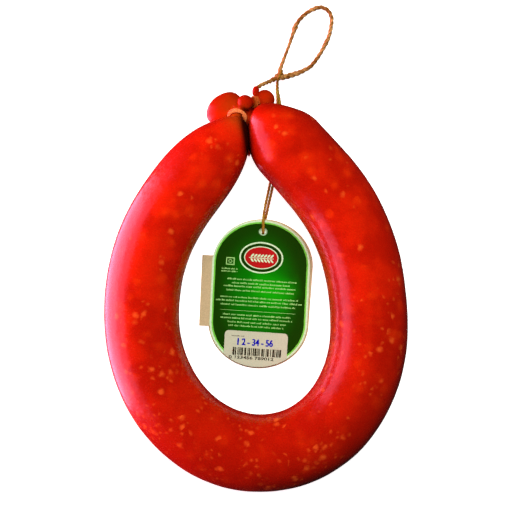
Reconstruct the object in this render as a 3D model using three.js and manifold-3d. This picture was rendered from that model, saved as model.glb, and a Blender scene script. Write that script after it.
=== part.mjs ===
// A ring of cured sausage in a natural casing, lying on its side with its two ends drawn together.
// The ends are tied off, a twine loop to hang it by comes out of them, and a folded card tag hangs
// inside the ring on a doubled string. Millimetres, +Z up, the ring's top end towards +Y.

import * as THREE from 'three';
import { mergeVertices } from 'three/addons/utils/BufferGeometryUtils.js';
import Module from 'manifold-3d';

const wasm = await Module();
wasm.setup();

// Casing: the middle line of the meat seen from above, from its two waists to its tips and its bottom
const restHeight = 22;
const waistLeft = new THREE.Vector2(-68.6, -14.1);
const waistRight = new THREE.Vector2(67.8, -23.3);
const bottom = new THREE.Vector2(2.2, -97.5);
const tipLeft = new THREE.Vector2(-10.1, 102.8);
const tipRight = new THREE.Vector2(2.9, 110.3);
const tipAngle = { left: 68, right: 113.4 };
const tipReach = { left: 29, right: 39.6 };
const armReach = { left: 66.1, right: 85.6 };
const waistReach = { left: 47.7, right: 36.5 };
const bottomReach = { left: 37.6, right: 42.0 };

// Casing: near its tip each arm climbs a little, and its very end nods down again
const climb = { left: 3.5, right: 6.0, over: 62 };
const nod = { left: 5.0, right: 4.0, within: 14 };

// Casing: half its thickness, by share of the way from the left tip to the right one
const girths = [
  [0, 24.5], [0.1, 22.5], [0.24, 22.6], [0.48, 23.3], [0.7, 23.2], [0.85, 23.4], [1, 22.6],
];
const dome = { left: { length: 52, power: 0.51 }, right: { length: 30, power: 0.58 } };
const casingRings = 104;
const casingSides = 32;

// Casing: rings lie closer where the thickness changes faster, up to a steepest change that counts
const ringSpread = { bits: 4000, straight: 1 / 6, change: 1 / 2, steepest: 6 };

// Casing: the drawn-in necks, and the small bulbs of meat that are left beyond them
const bulbs = [
  { at: [-18.9, 109.9, 9.3], half: 12.0, radius: 9.1, turn: 37, dip: 0 },
  { at: [-6.6, 113.0, 19.6], half: 4.9, radius: 4.7, turn: 10, dip: 33 },
  { at: [5.3, 115.3, 12.0], half: 6.1, radius: 6.1, turn: 10, dip: 33 },
];
const bulbSides = { round: 20, along: 14 };
const neckSides = 16;
const neckSteps = 6;
const necks = [
  {
    radius: 3.5,
    route: [[-12.2, 101.2, 23.3], [-11.1, 104.7, 20.4], [-10.4, 107.2, 18.2], [-13.6, 110.4, 12.4]],
  },
  {
    radius: 3.5,
    route: [[-4.6, 92.0, 11.0], [-5.2, 99.0, 11.2], [-5.6, 105.5, 10.8],
      [-4.2, 110.4, 8.4], [0.6, 113.6, 8.2], [5.0, 115.0, 11.6]],
  },
  {
    radius: 2.1,
    route: [[-4.1, 113.2, 18.4], [-0.9, 113.7, 16.4], [2.4, 114.3, 14.2]],
  },
];

// Twine and string
const gap = 0.3;
const twine = { diameter: 2.7, sides: 8, steps: 70 };
const tagString = { diameter: 1.8, sides: 8, steps: 80 };
const tieTwine = 1.2;
const tieSides = 20;
const tieLeans = [-75, -25, 25, 75];
const ties = [
  { name: 'neck_tie', at: [-11.0, 105.0, 20.1], towards: [0.24, 0.74, -0.63], neck: 4.2, turns: 2 },
  { name: 'tail_tie', at: [-0.9, 113.7, 16.4], towards: [0.83, 0.14, -0.54], neck: 2.2, turns: 2 },
];
const knot = {
  at: new THREE.Vector3(14.4, 130.7, 2.7), half: new THREE.Vector3(3.9, 2.9, 2.6),
  turn: 20, round: 12, along: 8,
};

// Loop to hang it by: off the tie, down onto the table, through the knot, round and back to it
const loopRoute = [
  [-0.5, 118.4, 16.9], [-0.2, 120.6, 16.6], [2.0, 123.2, 14.1], [5.4, 125.3, 10.5], [8.9, 127.1, 6.6],
  [12.2, 128.7, 3.8], [16.9, 129.9, 2.0], [21.4, 131.3, 1.4], [26.2, 132.8, 1.4], [30.0, 134.6, 1.4],
  [33.2, 136.5, 1.4], [38.4, 143.1, 1.4], [42.6, 150.6, 1.4], [44.5, 154.8, 1.4], [45.9, 160.9, 1.4],
  [46.2, 166.4, 1.4], [44.2, 170.6, 1.4], [39.8, 172.8, 1.4], [34.4, 171.3, 1.4], [28.8, 167.5, 1.4],
  [24.9, 162.6, 1.4], [22.4, 155.9, 1.4], [20.1, 149.2, 1.4], [17.8, 143.1, 1.5], [15.8, 137.7, 1.8],
  [14.7, 134.5, 2.5], [14.2, 131.4, 2.8],
];

// Tag string: down from the knot, under the right arm, over the tag's edge, through its hole, and back
const stringRoute = [
  [13.0, 126.8, 3.1], [12.8, 122.0, 3.0], [13.1, 117.2, 2.6], [13.1, 112.2, 1.2], [12.9, 104.0, 1.0],
  [12.4, 95.0, 1.0], [11.8, 85.5, 1.0], [11.0, 77.0, 1.0], [9.9, 70.5, 1.0], [8.4, 64.0, 1.0],
  [7.3, 58.8, 1.0], [6.2, 53.8, 1.9], [5.4, 49.6, 3.7], [4.8, 46.0, 5.4], [4.5, 42.4, 6.6],
  [4.4, 38.6, 7.2], [4.4, 35.8, 6.4], [4.4, 34.7, 4.0], [4.6, 35.9, 1.7], [5.0, 38.9, 1.0],
  [5.7, 42.8, 1.0], [6.6, 46.9, 1.0], [8.0, 53.4, 1.0], [9.2, 58.6, 1.0], [10.4, 64.0, 1.0],
  [11.9, 70.5, 1.0], [13.0, 77.0, 1.0], [13.8, 85.5, 1.0], [14.4, 95.0, 1.0], [14.8, 104.0, 1.0],
  [14.9, 112.2, 1.0], [14.2, 117.2, 1.0], [13.3, 122.0, 1.0], [13.1, 126.9, 1.0],
];

// Tag: two oval leaves of card joined by a narrow strip on the left, and a sticker low on the front
const card = 0.5;
const leafGap = 1.2;
const leaf = { halfWidth: 29.9, straight: 35.2, cap: 27.3 };
const backLeaf = { shiftX: 0.5, shiftY: -0.2, grow: 0.8, turn: -1.4 };
const strip = { inner: -29.0, outer: -35.9, low: -21.4, high: 22.0, lap: 4 };
const tagPlace = { x: 2.3, y: -2.2, turn: -2.7, lift: 1.8 };
const tagHole = { x: 0.3, y: 38.0, diameter: 5 };
const sticker = { x: -1.0, y: -34.9, width: 38.6, height: 23, corner: 2.4, thickness: 0.3, turn: -1.1 };
const ovalSegments = 12;
const cornerSegments = 4;
const holeSides = 16;
const tableGap = 0.05;

// Corners closer than this are one corner
const weld = 1e-3;

// A closed geometry as a solid that can be cut and joined
function solid(geometry) {
  const bare = new THREE.BufferGeometry();
  bare.setAttribute('position', geometry.getAttribute('position'));
  bare.setIndex(geometry.index);
  const welded = mergeVertices(bare, weld);
  const index = welded.index.array;
  const kept = [];
  for (let i = 0; i < index.length; i += 3) {
    const [a, b, c] = [index[i], index[i + 1], index[i + 2]];
    if (a !== b && b !== c && c !== a) kept.push(a, b, c);
  }
  const vertProperties = new Float32Array(welded.getAttribute('position').array);
  return new wasm.Manifold(new wasm.Mesh({ numProp: 3, vertProperties, triVerts: new Uint32Array(kept) }));
}

// A solid back as a geometry
function shell(body) {
  const { vertProperties, triVerts } = body.getMesh();
  const geometry = new THREE.BufferGeometry();
  geometry.setAttribute('position', new THREE.BufferAttribute(vertProperties, 3));
  geometry.setIndex(new THREE.BufferAttribute(triVerts, 1));
  geometry.computeVertexNormals();
  return geometry;
}

// A named piece with its own finish
function piece(name, geometry, color, roughness) {
  const mesh = new THREE.Mesh(geometry, new THREE.MeshStandardMaterial({ color, roughness, metalness: 0 }));
  mesh.name = name;
  return mesh;
}

// The middle line of the meat seen from above, from the left tip round to the right one
function planLine() {
  const step = (from, degrees, reach) => {
    const angle = THREE.MathUtils.degToRad(degrees);
    return new THREE.Vector2(from.x + reach * Math.cos(angle), from.y + reach * Math.sin(angle));
  };
  const plan = new THREE.CurvePath();
  plan.add(new THREE.CubicBezierCurve(tipLeft, step(tipLeft, tipAngle.left, -tipReach.left),
    step(waistLeft, 90, armReach.left), waistLeft));
  plan.add(new THREE.CubicBezierCurve(waistLeft, step(waistLeft, 90, -waistReach.left),
    step(bottom, 180, bottomReach.left), bottom));
  plan.add(new THREE.CubicBezierCurve(bottom, step(bottom, 0, bottomReach.right),
    step(waistRight, 90, -waistReach.right), waistRight));
  plan.add(new THREE.CubicBezierCurve(waistRight, step(waistRight, 90, armReach.right),
    step(tipRight, tipAngle.right, -tipReach.right), tipRight));
  return plan;
}

const plan = planLine();
const planLength = plan.getLength();

// Height of the middle line at a distance from a tip
function tipHeight(distance, side) {
  const rise = climb[side] * THREE.MathUtils.smoothstep(climb.over - distance, 0, climb.over);
  return rise - nod[side] * Math.max(0, 1 - distance / nod.within) ** 2;
}

// The middle line at a distance along it
function middle(s) {
  const { x, y } = plan.getPointAt(THREE.MathUtils.clamp(s / planLength, 0, 1));
  return new THREE.Vector3(x, y, restHeight + tipHeight(s, 'left') + tipHeight(planLength - s, 'right'));
}

// Half the thickness of the casing at a distance along the middle line, rounded off at both tips
function casingRadius(s) {
  const share = THREE.MathUtils.clamp(s / planLength, 0, 1);
  const next = Math.max(1, girths.findIndex(([at]) => at >= share));
  const [from, start] = girths[next - 1];
  const [to, end] = girths[next];
  const girth = THREE.MathUtils.lerp(start, end, THREE.MathUtils.smoothstep(share, from, to));
  const round = (distance, { length, power }) => (
    Math.sin(THREE.MathUtils.clamp(distance / length, 0, 1) * Math.PI / 2) ** power);
  return girth * round(s, dome.left) * round(planLength - s, dome.right);
}

// Places of the rings along the casing: sparse on the straight meat, close where the radius changes
function ringPlaces(count) {
  const { bits, straight, change, steepest } = ringSpread;
  const bit = planLength / bits;
  const travel = [0];
  for (let i = 1; i <= bits; i += 1) {
    const slope = Math.abs(casingRadius(i * bit) - casingRadius((i - 1) * bit)) / bit;
    travel.push(travel[i - 1] + bit * (straight + change * Math.min(slope, steepest)));
  }
  const places = [];
  for (let ring = 0, i = 0; ring <= count; ring += 1) {
    while (i < bits && travel[i] < (ring / count) * travel[bits]) i += 1;
    places.push(i * bit);
  }
  return places;
}

// The frame at a distance along the middle line: sideways and upwards, square to the line
function frameAt(s) {
  const reach = 0.2;
  const tangent = middle(Math.min(s + reach, planLength)).sub(middle(Math.max(s - reach, 0))).normalize();
  const side = new THREE.Vector3().crossVectors(tangent, new THREE.Vector3(0, 0, 1)).normalize();
  return { centre: middle(s), side, top: new THREE.Vector3().crossVectors(side, tangent) };
}

// The ring of meat: a turned profile bent along the middle line
function makeRing() {
  const places = ringPlaces(casingRings);
  const profile = places.map((s) => new THREE.Vector2(casingRadius(s), s));
  profile[0].x = 0;
  profile[profile.length - 1].x = 0;
  const geometry = new THREE.LatheGeometry(profile, casingSides);
  const position = geometry.getAttribute('position');
  const frames = places.map(frameAt);
  for (let i = 0; i < position.count; i += 1) {
    const { centre, side, top } = frames[i % places.length];
    const point = centre.clone().addScaledVector(side, position.getX(i));
    point.addScaledVector(top, position.getZ(i));
    position.setXYZ(i, point.x, point.y, point.z);
  }
  return geometry;
}

// A small egg-shaped bulb, its long axis turned from +X towards +Y and dipped below the level
function makeBulb({ at, half, radius, turn, dip }) {
  const geometry = new THREE.SphereGeometry(1, bulbSides.round, bulbSides.along);
  geometry.scale(half, radius, radius);
  geometry.rotateY(THREE.MathUtils.degToRad(dip));
  geometry.rotateZ(THREE.MathUtils.degToRad(turn));
  geometry.translate(...at);
  return geometry;
}

// The casing in one piece: the ring, its necks and its bulbs, flattened where they lie on the table
function makeCasing() {
  let casing = solid(makeRing());
  for (const { radius, route } of necks) {
    casing = casing.add(makeTube(route, { diameter: 2 * radius, sides: neckSides, steps: neckSteps }));
  }
  for (const bulb of bulbs) casing = casing.add(solid(makeBulb(bulb)));
  const geometry = shell(casing);
  const position = geometry.getAttribute('position');
  for (let i = 0; i < position.count; i += 1) position.setZ(i, Math.max(position.getZ(i), 0));
  geometry.computeVertexNormals();
  return geometry;
}

// A tie: turns of thin twine side by side round a neck
function makeTie({ name, at, towards, neck, turns }) {
  const inner = neck + gap;
  const width = tieTwine * turns;
  const profile = [new THREE.Vector2(inner, width / 2), new THREE.Vector2(inner, -width / 2)];
  for (let turn = 0; turn < turns; turn += 1) {
    for (const lean of tieLeans) {
      const angle = THREE.MathUtils.degToRad(lean);
      const across = inner + (tieTwine / 2) * (1 + Math.cos(angle));
      profile.push(new THREE.Vector2(across, (turn + 0.5 + Math.sin(angle) / 2) * tieTwine - width / 2));
    }
  }
  profile.push(profile[0].clone());
  const tie = piece(name, shell(solid(new THREE.LatheGeometry(profile, tieSides))), 0xc3976b, 0.9);
  tie.position.set(...at);
  const axis = new THREE.Vector3(...towards).normalize();
  tie.quaternion.setFromUnitVectors(new THREE.Vector3(0, 1, 0), axis);
  return tie;
}

// A round tube along a route given by points
function makeTube(route, { diameter, sides, steps }) {
  const section = new THREE.Shape();
  for (let i = 0; i < sides; i += 1) {
    const angle = (i + 0.5) * 2 * Math.PI / sides;
    const corner = [diameter / 2 * Math.cos(angle), diameter / 2 * Math.sin(angle)];
    if (i === 0) section.moveTo(...corner);
    else section.lineTo(...corner);
  }
  const points = route.map(([x, y, z]) => new THREE.Vector3(x, y, z));
  const extrudePath = new THREE.CatmullRomCurve3(points, false, 'centripetal');
  return solid(new THREE.ExtrudeGeometry(section, { steps, extrudePath, bevelEnabled: false }));
}

// The hanging loop with the knot that closes it
function makeLoop() {
  const lump = new THREE.SphereGeometry(1, knot.round, knot.along);
  lump.scale(knot.half.x, knot.half.y, knot.half.z);
  lump.rotateZ(THREE.MathUtils.degToRad(knot.turn));
  lump.translate(knot.at.x, knot.at.y, knot.at.z);
  return shell(makeTube(loopRoute, twine).add(solid(lump)));
}

// An outline with straight sides and half-oval ends
function ovalShape({ halfWidth, straight, cap }) {
  const shape = new THREE.Shape();
  shape.moveTo(halfWidth, -straight / 2);
  shape.lineTo(halfWidth, straight / 2);
  shape.absellipse(0, straight / 2, halfWidth, cap, 0, Math.PI, false, 0);
  shape.lineTo(-halfWidth, -straight / 2);
  shape.absellipse(0, -straight / 2, halfWidth, cap, Math.PI, 2 * Math.PI, false, 0);
  return shape;
}

function plate(shape, thickness) {
  const options = { depth: thickness, bevelEnabled: false, curveSegments: ovalSegments };
  return new THREE.ExtrudeGeometry(shape, options);
}

// The folded card: front leaf above, back leaf a little out of line below, strip between them
function makeCard() {
  const frontHeight = card + leafGap;
  const front = plate(ovalShape(leaf), card);
  front.translate(0, 0, frontHeight);
  const { straight } = leaf;
  const larger = { halfWidth: leaf.halfWidth + backLeaf.grow, straight, cap: leaf.cap + backLeaf.grow };
  const back = plate(ovalShape(larger), card);
  back.rotateZ(THREE.MathUtils.degToRad(backLeaf.turn));
  back.translate(backLeaf.shiftX, backLeaf.shiftY, 0);
  const top = frontHeight + card;
  const bend = 3 * card;
  const fold = new THREE.Shape([
    [strip.inner + strip.lap, top], [strip.inner, top], [strip.outer - card / 2, card / 2],
    [strip.outer, 0], [strip.inner + strip.lap, 0], [strip.inner + strip.lap, card],
    [strip.outer + bend, card], [strip.inner, frontHeight], [strip.inner + strip.lap, frontHeight],
  ].map(([x, z]) => new THREE.Vector2(x, z)));
  const bridge = plate(fold, strip.high - strip.low);
  bridge.rotateX(Math.PI / 2);
  bridge.translate(0, strip.high, 0);
  const through = 4 * top;
  const drill = new THREE.CylinderGeometry(tagHole.diameter / 2, tagHole.diameter / 2, through, holeSides);
  drill.rotateX(Math.PI / 2);
  drill.translate(tagHole.x, tagHole.y, 0);
  return shell(solid(front).add(solid(back)).add(solid(bridge)).subtract(solid(drill)));
}

// The sticker: a rounded label trimmed to the card's edge
function makeSticker() {
  const { width, height, corner, thickness } = sticker;
  const label = new THREE.Shape();
  label.moveTo(width / 2, -height / 2 + corner);
  label.absarc(width / 2 - corner, height / 2 - corner, corner, 0, Math.PI / 2, false);
  label.absarc(-width / 2 + corner, height / 2 - corner, corner, Math.PI / 2, Math.PI, false);
  label.absarc(-width / 2 + corner, -height / 2 + corner, corner, Math.PI, 1.5 * Math.PI, false);
  label.absarc(width / 2 - corner, -height / 2 + corner, corner, 1.5 * Math.PI, 2 * Math.PI, false);
  const options = { depth: thickness, bevelEnabled: false, curveSegments: cornerSegments };
  const paper = new THREE.ExtrudeGeometry(label, options);
  paper.rotateZ(THREE.MathUtils.degToRad(sticker.turn));
  const bottomHeight = 2 * card + leafGap + gap;
  paper.translate(sticker.x, sticker.y, bottomHeight);
  const trim = plate(ovalShape(leaf), bottomHeight + 2 * thickness);
  return shell(solid(paper).intersect(solid(trim)));
}

// The tag lies on its lower end, with the end at the hole lifted by the string under it
function makeTag() {
  const tag = new THREE.Group();
  tag.add(piece('tag_card', makeCard(), 0x2f8f22, 0.4));
  tag.add(piece('tag_sticker', makeSticker(), 0xe6e6d8, 0.5));
  const lift = THREE.MathUtils.degToRad(tagPlace.lift);
  const lowEnd = leaf.straight / 2 + leaf.cap;
  tag.rotation.set(lift, 0, THREE.MathUtils.degToRad(tagPlace.turn), 'ZXY');
  tag.position.set(tagPlace.x, tagPlace.y, lowEnd * Math.sin(lift) + tableGap);
  return tag;
}

const sausage = new THREE.Group();
sausage.add(piece('sausage', makeCasing(), 0xb81c05, 0.35));
for (const tie of ties) sausage.add(makeTie(tie));
sausage.add(piece('hanging_loop', makeLoop(), 0xc3976b, 0.9));
sausage.add(piece('tag_string', shell(makeTube(stringRoute, tagString)), 0xb58a5e, 0.9));
sausage.add(makeTag());

export default sausage;
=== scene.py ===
import bisect
import math
import random

import bmesh
import bpy
from bpy.props import FloatProperty, FloatVectorProperty, IntProperty, PointerProperty
from mathutils import Matrix, Vector, noise


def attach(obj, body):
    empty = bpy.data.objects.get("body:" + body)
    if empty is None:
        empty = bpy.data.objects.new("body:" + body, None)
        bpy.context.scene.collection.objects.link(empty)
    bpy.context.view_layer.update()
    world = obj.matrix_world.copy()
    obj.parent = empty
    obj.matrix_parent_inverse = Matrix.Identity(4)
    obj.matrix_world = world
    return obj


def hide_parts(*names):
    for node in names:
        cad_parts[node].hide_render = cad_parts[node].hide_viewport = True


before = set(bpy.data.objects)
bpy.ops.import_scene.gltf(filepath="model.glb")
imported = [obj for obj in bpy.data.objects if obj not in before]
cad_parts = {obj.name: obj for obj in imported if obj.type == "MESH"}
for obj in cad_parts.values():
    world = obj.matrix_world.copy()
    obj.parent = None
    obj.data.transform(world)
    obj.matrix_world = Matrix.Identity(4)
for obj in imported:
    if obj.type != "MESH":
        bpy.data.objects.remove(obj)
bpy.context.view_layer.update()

bl_info = {
    "name": "Tied ring of cured sausage",
    "version": (1, 0, 0),
    "blender": (4, 5, 0),
    "location": "3D View > Sidebar > Sausage",
    "description": "Builds a ring of cured sausage with tied ends, a hanging loop and a folded card tag",
    "category": "Object",
}

MM = 0.001

# Middle line of the meat seen from above, in millimetres, from its waists to its tips and its bottom
REST_HEIGHT = 22.0
WAIST_LEFT = Vector((-68.6, -14.1))
WAIST_RIGHT = Vector((67.8, -23.3))
BOTTOM = Vector((2.2, -97.5))
TIP_LEFT = Vector((-10.1, 102.8))
TIP_RIGHT = Vector((2.9, 110.3))
TIP_ANGLE = {"left": 68.0, "right": 113.4}
TIP_REACH = {"left": 29.0, "right": 39.6}
ARM_REACH = {"left": 66.1, "right": 85.6}
WAIST_REACH = {"left": 47.7, "right": 36.5}
BOTTOM_REACH = {"left": 37.6, "right": 42.0}

# Near its tip each arm climbs a little, and its very end nods down again
CLIMB = {"left": 3.5, "right": 6.0}
CLIMB_OVER = 62.0
NOD = {"left": 5.0, "right": 4.0}
NOD_WITHIN = 14.0

# Half the thickness of the casing by share of the way along it, and how its tips are rounded
GIRTHS = [(0, 24.5), (0.1, 22.5), (0.24, 22.6), (0.48, 23.3), (0.7, 23.2), (0.85, 23.4), (1, 22.6)]
DOME = {"left": (52.0, 0.51), "right": (30.0, 0.58)}

# Small bulbs of meat beyond the ends: place, half length, radius, turn and dip in degrees
BULBS = [
    ((-18.9, 109.9, 9.3), 12.0, 9.1, 37, 0),
    ((-6.6, 113.0, 19.6), 4.9, 4.7, 10, 33),
    ((5.3, 115.3, 12.0), 6.1, 6.1, 10, 33),
]

# Drawn-in necks: radius, pleats, flare of the tips, and the route of the middle. The last is the tail of the
# casing that is left standing round the twine
NECKS = [
    (3.5, 11, (1.4, 0.6), [(-12.4, 98.6, 23.2), (-12.2, 101.2, 23.3), (-11.1, 104.7, 20.4),
                           (-10.4, 107.2, 18.2), (-13.6, 110.4, 12.4)]),
    (3.5, 9, (-0.9, 0.6), [(-4.2, 80.6, 11.0), (-4.5, 87.0, 11.0), (-4.6, 92.0, 11.0), (-5.2, 99.0, 11.2),
                          (-5.6, 105.5, 10.8), (-4.2, 110.4, 8.4), (0.6, 113.6, 8.2), (5.0, 115.0, 11.6)]),
    (2.1, 7, (0.6, 0.6), [(-4.1, 113.2, 18.4), (-0.9, 113.7, 16.4), (2.4, 114.3, 14.2)]),
    (1.9, 5, (0.1, 0.1), [(4.2, 116.0, 13.0), (1.2, 117.4, 15.0), (-0.4, 119.0, 16.4), (-0.1, 121.0, 16.3),
                          (0.7, 122.0, 15.5)]),
]

# Ties round the necks: place, direction of the neck, its radius there
NECK_TIE = ((-11.3, 104.1, 20.8), (0.24, 0.74, -0.63), 4.3)
TAIL_TIE = ((-0.9, 113.7, 16.4), (0.83, 0.14, -0.54), 2.2)
TIE_GAP = 0.3
SKIN_VOXEL = 0.42 * MM

# Loop to hang it by: off the tie, down onto the table, through the knot, round and back to it
LOOP_ROUTE = [
    (-0.5, 118.4, 16.9), (-0.2, 120.6, 16.6), (2.0, 123.2, 14.1), (5.4, 125.3, 10.5), (8.9, 127.1, 6.6),
    (12.2, 128.7, 3.8), (16.9, 129.9, 2.0), (21.4, 131.3, 1.4), (26.2, 132.8, 1.4), (30.0, 134.6, 1.4),
    (33.2, 136.5, 1.4), (38.4, 143.1, 1.4), (42.6, 150.6, 1.4), (44.5, 154.8, 1.4), (45.9, 160.9, 1.4),
    (46.2, 166.4, 1.4), (44.2, 170.6, 1.4), (39.8, 172.8, 1.4), (34.4, 171.3, 1.4), (28.8, 167.5, 1.4),
    (24.9, 162.6, 1.4), (22.4, 155.9, 1.4), (20.1, 149.2, 1.4), (17.8, 143.1, 1.5), (15.8, 137.7, 1.8),
    (14.7, 134.5, 2.5), (14.2, 131.4, 2.8),
]
KNOT_AT = Vector((14.4, 130.7, 2.7))
KNOT_REACH = (0.72, 0.46, -1.1)

# Thick and thin places: distance along, reach, and share of the thickness that is added
LOOP_SLUBS = (
    (32 * MM, 8 * MM, 0.38), (62.5 * MM, 1.8 * MM, 0.22), (92 * MM, 2.2 * MM, 0.12),
    (109.5 * MM, 2.0 * MM, 0.40), (124 * MM, 9 * MM, -0.22),
)

# The knot's loose end, and the tag string's turn over the knot
STUB_ROUTE = [(12.6, 129.8, 3.2), (11.2, 129.5, 2.5), (9.9, 129.0, 1.8), (8.9, 128.5, 1.4)]
HITCH_ROUTE = [(13.0, 126.2, 2.6), (13.1, 127.3, 4.4), (13.7, 129.4, 5.9), (14.8, 131.6, 5.6),
               (15.6, 133.4, 3.8), (15.7, 133.9, 1.6)]

# Tag string: down from the knot, under the right arm, over the tag's edge, through its hole, and back
STRING_ROUTE = [
    (13.0, 126.8, 3.1), (12.8, 122.0, 3.0), (13.1, 117.2, 2.6), (13.1, 112.2, 1.2), (12.9, 104.0, 1.0),
    (12.4, 95.0, 1.0), (11.8, 85.5, 1.0), (11.0, 77.0, 1.0), (9.9, 70.5, 1.0), (8.4, 64.0, 1.0),
    (7.3, 58.8, 1.0), (6.2, 53.8, 1.9), (5.4, 49.6, 3.7), (4.8, 46.0, 5.4), (4.5, 42.4, 6.6),
    (4.4, 38.6, 7.2), (4.4, 35.8, 6.4), (4.4, 34.7, 4.0), (4.6, 35.9, 1.7), (5.0, 38.9, 1.0),
    (5.7, 42.8, 1.0), (6.6, 46.9, 1.0), (8.0, 53.4, 1.0), (9.2, 58.6, 1.0), (10.4, 64.0, 1.0),
    (11.9, 70.5, 1.0), (13.0, 77.0, 1.0), (13.8, 85.5, 1.0), (14.4, 95.0, 1.0), (14.8, 104.0, 1.0),
    (14.9, 112.2, 1.0), (14.2, 117.2, 1.0), (13.3, 122.0, 1.0), (13.1, 126.9, 1.0),
]

# Tag: two oval leaves of card joined by a strip on the left, with a hole near the top
CARD = 0.5
LEAF_GAP = 1.2
LEAF = {"half_width": 29.9, "straight": 35.2, "cap": 27.3}
BACK_LEAF = {"shift": (0.5, -0.2), "grow": 0.8, "turn": -1.4}
STRIP = {"inner": -29.0, "outer": -35.9, "low": -21.4, "high": 22.0, "lap": 4.0}
TAG_AT = (2.3, -2.2)
TAG_TURN = -2.7
TAG_LIFT = 1.8
TABLE_GAP = 0.05
HOLE = {"x": 0.3, "y": 38.0, "diameter": 5.0, "inner": 2.3, "inner_x": 0.43, "inner_y": 37.55}
STICKER = {"x": -1.0, "y": -34.9, "width": 38.6, "height": 23.0, "corner": 2.4, "thickness": 0.3}
PRINT_TURN = -1.1
RIM = 0.9
FRONT_TOP = 2 * CARD + LEAF_GAP
STICKER_TOP = FRONT_TOP + 0.3 + STICKER["thickness"]

# Stretches of Y over which the casing's look changes, the second and the fourth of them painted shade (darker
# towards the bottom of the ring, and over the tips and bulbs), and the length of a streak in the twine
FAT_THINS = (-60 * MM, 40 * MM)
LOW_SIDE_SHADE = (-100 * MM, 30 * MM)
TAIL_DULLS = (100 * MM, 107 * MM)
TAIL_SHADE = (102 * MM, 112 * MM)
STREAK = 2.52 * MM

# Thickness of a stray fibre, and how closely the lines of twine, string and ties are followed
FIBRE = 0.09 * MM
LOOP_STEP = 0.45 * MM
STRING_STEP = 0.4 * MM
TIE_STEP = 0.3 * MM


def linear(code):
    """An sRGB hex colour as the linear values that shaders use."""
    channels = [int(code[i:i + 2], 16) / 255 for i in (1, 3, 5)]
    return tuple(c / 12.92 if c <= 0.04045 else ((c + 0.055) / 1.055) ** 2.4 for c in channels)


def colour(code, name, description):
    """A colour setting with an sRGB hex default."""
    return FloatVectorProperty(
        name=name, description=description, subtype="COLOR", size=3, min=0, max=1, default=linear(code))


def size(millimetres, name, description):
    """A length setting with its default in millimetres."""
    return FloatProperty(name=name, description=description, unit="LENGTH", default=millimetres * MM, min=0,
                         precision=5)


class CasingSettings(bpy.types.PropertyGroup):
    """Finish of the meat in its casing."""

    meat: colour("#C61B02", "Meat", "Paprika red of the meat seen through the casing")
    deep: colour("#AE1201", "Deep red", "Darker patches of the meat")
    bright: colour("#DC3204", "Bright red", "Soft patches of fat deep under the casing")
    fat: colour("#E2581F", "Fat", "Specks of fat right under the casing")
    # Real dry casing at the ties; on two of the bulbs the same colour is mixed in as painted shade
    dry: colour("#C0500A", "Dry casing", "Brown of the gathered casing at the ties")
    # Painted shade: mixed in darker towards the bottom of the ring and over the tips and bulbs at the tail
    painted_shade_red: colour("#8E0E01", "Aged red", "Deeper red of the part that hangs lowest")
    # Painted shade in the fold where the two arms touch
    crease_shade: colour("#2A0402", "Crease", "Dark of the fold where the two arms touch")
    speck: size(5.6, "Fat spacing", "Distance between specks of fat")
    relief: size(0.3, "Relief", "How far the casing rises and falls over its filling")
    rings: IntProperty(name="Rings", description="Rings of faces along the casing", default=430, min=60)
    sides: IntProperty(name="Sides", description="Faces round the casing", default=96, min=16)


class TwineSettings(bpy.types.PropertyGroup):
    """Twine, string and ties."""

    twine: size(2.7, "Twine", "Diameter of the hanging loop's twine")
    string: size(1.8, "Tag string", "Diameter of the tag's string")
    tie: size(1.3, "Tie twine", "Diameter of the twine round the necks")
    lay: FloatProperty(name="Lay", description="Diameters of twine in one full turn of its plies",
                       default=3.6, min=1)
    natural: colour("#D2A062", "Natural fibre", "Tan of the jute twine")
    shaded: colour("#7A4810", "Dark fibre", "Brown of the darker fibres")
    pale: colour("#AC993C", "Pale fibre", "Olive tan of the tag string")
    soaked: colour("#8A5514", "Stained fibre", "Brown of the tag string where it is stained")
    greased: colour("#F79A62", "Greased fibre", "Pale orange of string soaked in paprika fat")
    rusty: colour("#CC6228", "Rusty fibre", "Red brown of the string wound round the casing's tail")
    dark: colour("#8A3206", "Stained dark fibre", "Dark red brown of that string in its lay")


class TagSettings(bpy.types.PropertyGroup):
    """Card tag, its print and its sticker."""

    card: colour("#D0F0CA", "Card", "Pale green cream of the bare card")
    # Painted shade: a darker copy of the card for the back leaf and the fold strip, which lie lower, in shade
    back: colour("#C8B690", "Back", "Grey beige of the card's back")
    green: colour("#067202", "Green", "Printed green")
    dark: colour("#123A01", "Dark green", "Printed green towards the edge")
    glow: colour("#10B004", "Glow", "Bright patch of the printed green")
    rim: colour("#74D24A", "Rim", "Pale green line round the print")
    ink: colour("#9CD680", "Ink", "Pale ink of the small print")
    badge: colour("#B51A1C", "Badge", "Red of the badge")
    label: colour("#C5CAB4", "Label", "Off-white of the sticker's paper")
    stamp: colour("#0A10B4", "Stamp", "Blue of the stamped numbers")
    border: size(1.2, "Border", "Width of bare card round the print")


class StageSettings(bpy.types.PropertyGroup):
    """Camera and light."""

    camera_height: size(1100, "Camera height", "Height of the camera over the table")
    camera_x: FloatProperty(
        name="Camera X", description="Camera's place across", unit="LENGTH", default=-0.6 * MM)
    camera_y: FloatProperty(
        name="Camera Y", description="Camera's place along", unit="LENGTH", default=21.3 * MM)
    view_width: size(306, "View width", "Width of the view at the middle of the meat")
    floor: colour("#F4F4F2", "Floor", "Pale studio floor")


def fill_inputs(tree, node, inputs):
    """Gives a node's inputs their values, or links from other sockets."""
    for socket, value in inputs.items():
        if isinstance(value, bpy.types.NodeSocket):
            tree.links.new(value, node.inputs[socket])
        else:
            node.inputs[socket].default_value = value


def add_node(tree, kind, inputs=(), **settings):
    """Adds a node with its settings, and fills its inputs with values or with links from other sockets."""
    made = tree.nodes.new(kind)
    for name, value in settings.items():
        setattr(made, name, value)
    fill_inputs(tree, made, dict(inputs))
    return made


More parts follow.
